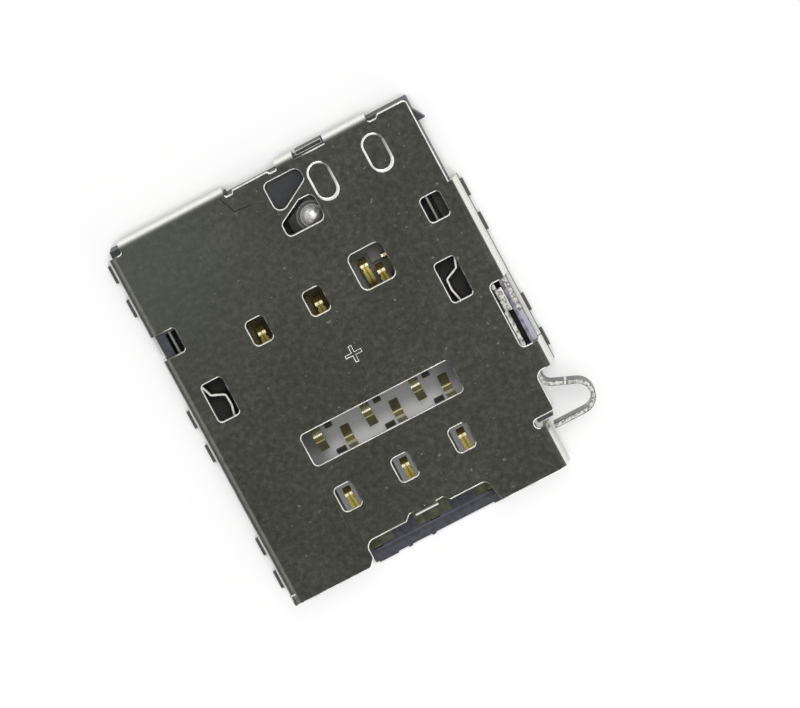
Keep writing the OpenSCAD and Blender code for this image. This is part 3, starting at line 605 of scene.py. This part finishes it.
# The spring contacts: stamped from thin bronze sheet and plated with gold. Their colour holds painted
# highlights along the rounded crowns, darker gold down the arms, and painted shade, olive on the base plates
# and dark on the low parts under the shell. A contact leans by n.y towards its root, and its lean gives its
# colour by these stops.
sim_lean = [(-1.0, 70, 54, 30), (-0.45, 250, 224, 110), (-0.3, 255, 238, 140), (-0.12, 206, 178, 88),
            (-0.02, 130, 106, 50), (0.08, 255, 246, 190), (0.2, 255, 252, 214), (0.36, 244, 226, 150),
            (0.55, 142, 126, 70), (0.8, 108, 98, 60)]
row_lean = [(-1.0, 226, 220, 190), (-0.78, 220, 214, 182), (-0.66, 200, 192, 156), (-0.45, 255, 252, 220),
            (-0.2, 250, 244, 204), (0.0, 112, 102, 64), (0.14, 96, 88, 54), (0.28, 206, 198, 148),
            (0.42, 150, 140, 96), (0.55, 92, 86, 60), (0.8, 84, 80, 58)]


def gold_plating(name, lean_stops, root_side, centre_x, dimple, shade_below, shade_tone):
    """Gold whose colour follows n.y, counted from the root's side of the contact, as painted highlights and
    shade.

    Painted shade darkens it below a given height, and the painted shade of a dimple darkens the middle of its
    crown.
    """
    material, shader, spot = finish_named(name, Metallic=0.5)
    x, y, z = spot.in_mm()
    lean = spot.tilt()[1] * root_side
    grain = spot.noise(3000, 2)
    gold = (lean * 0.5 + 0.5).tint(*((0.5 + 0.5 * place, *colour) for place, *colour in lean_stops))
    gold = gold.blend((120, 96, 50), grain * 0.2)
    # Painted shade of a dimple along the middle of the crown.
    gold = gold.blend((128, 98, 44), abs(x - centre_x).ramp(0.05, 0.02) * dimple)
    # Painted shade on the low parts, and below it on the base plates under the shell.
    gold = gold.blend(shade_tone, z.ramp(shade_below, shade_below - 0.14) * 0.85)
    base_plate_shade = grain.tint((0.4, 74, 75, 56), (0.65, 98, 101, 80))
    # Painted light: the low steps of the front tails are lightened.
    tail_step_light = y.ramp(-7.38, -7.42) * z.ramp(0.2, 0.15)
    gold = gold.blend(base_plate_shade, z.ramp(0.36, 0.31)).blend((186, 186, 160), tail_step_light)
    feed(shader, gold, 0.24 + grain * 0.15)
    return material


for name in sorted(nodes):
    if name.startswith(("sim_contact", "row_contact", "detect_")):
        low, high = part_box(name)
        root_side, lean_stops, dimple = 1.0, sim_lean, 0.6
        if name.startswith("row_contact"):
            rear_rooted = int(name[-1]) % 2 == 1
            root_side, lean_stops, dimple = -1.0 if rear_rooted else 1.0, row_lean, 0.0
            shade_below, shade_tone = 0.3, (92, 88, 66)
        elif low.y < -6 * mm:
            shade_below, shade_tone = 0.5, (96, 88, 54)
        else:
            shade_below, shade_tone = 0.68, (44, 38, 24)
        centre_x = 0.5 * (low.x + high.x) / mm
        dress(name, gold_plating(f"gold_{name}", lean_stops, root_side, centre_x, dimple, shade_below, shade_tone))


# The eject rod and the latch springs: stainless strip on edge, torn and rough along the sheared top edge.
# Painted light makes that top edge bright and the sides dark. The springs are greyer and rougher where they
# are seated in the base.
def strip_steel(name, light, rough):
    """Strip with painted light: upward faces (n.z > 0.5) light and sides dark, with grain contrast rough."""
    material, shader, spot = finish_named(name, Metallic=0.6)
    tilt_z = spot.tilt()[2]
    grain = spot.noise(7000, 3, 0.7)
    low = [round(value * (1 - rough)) for value in light]
    edge_tone = grain.tint((0.38, *low), (0.56, *light))
    side_tone = grain.tint((0.3, 48, 47, 43), (0.7, 84, 82, 76))
    return material, shader, spot, side_tone.blend(edge_tone, tilt_z.ramp(0.5, 0.8))


strip_metal, strip_shader, spot, tone = strip_steel("spring_strip", (255, 254, 248), 0.15)
seat = spot.in_mm()[1].ramp(2.6, 2.9)
feed(strip_shader, tone.blend((112, 110, 104), seat * 0.85), 0.3 + seat * 0.2)
for name in ("latch_spring_left", "latch_spring_right"):
    dress(name, strip_metal)

rod_metal, rod_shader, spot, tone = strip_steel("rod_strip", (246, 245, 238), 0.5)
x, y, _ = spot.in_mm()
tilt_x, _, tilt_z = spot.tilt()
# Painted light and shade on the hook: lighter where its sides face -X, dark where they face +X; a painted
# highlight with a painted shadow beside it marks the fold of the tab.
hook_side = y.ramp(-4.0, -4.2) * tilt_z.ramp(0.5, 0.3)
tone = tone.blend((176, 174, 166), hook_side * tilt_x.ramp(0.0, -0.3) * 0.8)
tone = tone.blend((40, 40, 36), hook_side * tilt_x.ramp(0.0, 0.2) * 0.7)
fold_highlight = line_share(x, y, (7.05, -4.74), (6.79, -5.24), 0.05)
fold_shadow = line_share(x, y, (7.11, -4.77), (6.85, -5.27), 0.04)
tone = tone.blend((84, 83, 78), fold_shadow * 0.8).blend((250, 249, 243), fold_highlight)
feed(rod_shader, tone, 0.3 + fold_highlight * 0.1)
dress("eject_rod", rod_metal)

# Burrs: shearing leaves a thin lip of torn steel along the top edges of the three strips, painted dark as the
# shade along those edges, and a bright one around the rod's folded tab.
burr_and_edge_shade, burr_shader, spot = finish_named("burr_and_edge_shade", Metallic=0.7, Roughness=0.4)
y = spot.in_mm()[1]
side_x, side_y = side_of(spot)
burr_and_shade_tone = spot.noise(5000, 3).tint((0.4, 66, 65, 60), (0.62, 150, 148, 140))
burr_and_shade_tone = burr_and_shade_tone.blend((80, 79, 74), y.ramp(2.6, 2.9) * 0.8)
# Painted shade: darker along the hook's lips that face +X and -Y.
front_of_hook = y.ramp(-4.0, -4.2) * (side_x * 0.6 - side_y * 0.8).ramp(0.3, 0.7)
feed(burr_shader, burr_and_shade_tone.blend((46, 45, 41), front_of_hook * 0.8))
strip_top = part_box("latch_spring_left")[1].z
for name, body in (("eject_rod", "rod"), ("latch_spring_left", "base"), ("latch_spring_right", "base")):
    swept_lips(f"{name}_burr", rims_of(nodes[name].data, strip_top, 0.1 * mm), even_lip(0.022, 0.006, 0.05),
               body, burr_and_edge_shade)
tab_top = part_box("eject_rod")[1].z
swept_lips("rod_tab_rims", rims_of(nodes["eject_rod"].data, tab_top, 0.1 * mm), even_lip(0.035, 0.012, 0.08),
           "rod", rim_metal)


# The eject lever: a flat plate stamped with steps around its hub, with painted highlights on the edges of the
# steps and painted shade that darkens it away from the hub. It turns under the rear of the shell.
pivot_low, pivot_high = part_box("lever_pivot")
pivot_x, pivot_y, _ = 0.5 * (pivot_low + pivot_high) / mm


def from_pivot(spot):
    """Distance from the rivet's axis, and the part of it along Y."""
    x, y, _ = spot.in_mm()
    off_x, off_y = x - pivot_x, y - pivot_y
    return (off_x * off_x + off_y * off_y).root(), off_y


lever_plate, plate_shader, spot = finish_named("lever_plate", Metallic=0.5)
distance, off_y = from_pivot(spot)
grain = spot.noise(3600, 3)
plate_tone = distance.tint(
    (0.36, 104, 103, 100), (0.41, 112, 111, 108), (0.44, 206, 205, 200), (0.47, 92, 91, 88),
    (0.56, 82, 82, 80), (0.59, 140, 139, 136), (0.62, 76, 78, 76), (0.8, 66, 68, 66), (1.0, 44, 45, 42))
# Painted shade: nearly black in front of the rivet, beyond 0.6 mm from it.
plate_tone = plate_tone.blend((40, 40, 32), distance.ramp(0.6, 0.66) * off_y.ramp(0.45, 0.0) * 0.8)
feed(plate_shader, plate_tone.blend((60, 59, 56), grain * 0.25), 0.3 + grain * 0.2)
dress("eject_lever", lever_plate)

# The rings: the sharp edges of the steps that are stamped around the lever's hub, painted brighter than the
# plate near the rivet as highlights, and painted dark as shade farther out.
lever_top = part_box("eject_lever")[1].z
ring_metal, ring_shader, spot = finish_named("ring_metal", Metallic=0.6, Roughness=0.3)
distance, _ = from_pivot(spot)
ring_tone = spot.noise(3600, 3).tint((0.3, 104, 102, 98), (0.7, 170, 168, 162))
feed(ring_shader, ring_tone.blend((52, 52, 48), distance.ramp(0.6, 0.64) * 0.85))
for step in (0.0, 0.02, 0.05):
    step_rims = rims_of(nodes["eject_lever"].data, lever_top - step * mm, 0.05 * mm)
    swept_lips(f"lever_rims_{round(100 * step)}", step_rims,
               lambda rim, mitre: lip_profile(0.014 * mm, 0.008 * mm, min(rim.depth, 0.03 * mm)), "lever",
               ring_metal)

# The rivet: turned from stainless rod and pressed into the base. A painted dark reflection on its polished
# dome, where it faces +X and -Y, stands for the dark edge of the window in front of it.
rivet_steel, rivet_shader, spot = finish_named("rivet_steel", Metallic=0.5, Roughness=0.22)
tilt_x, tilt_y, _ = spot.tilt()
polished = spot.noise(3500, 2).tint((0.36, 176, 176, 170), (0.52, 255, 254, 250))
feed(rivet_shader, polished.blend((96, 95, 90), (tilt_x * 0.5 - tilt_y * 0.87).ramp(0.2, 0.4) * 0.7))
dress("lever_pivot", rivet_steel)
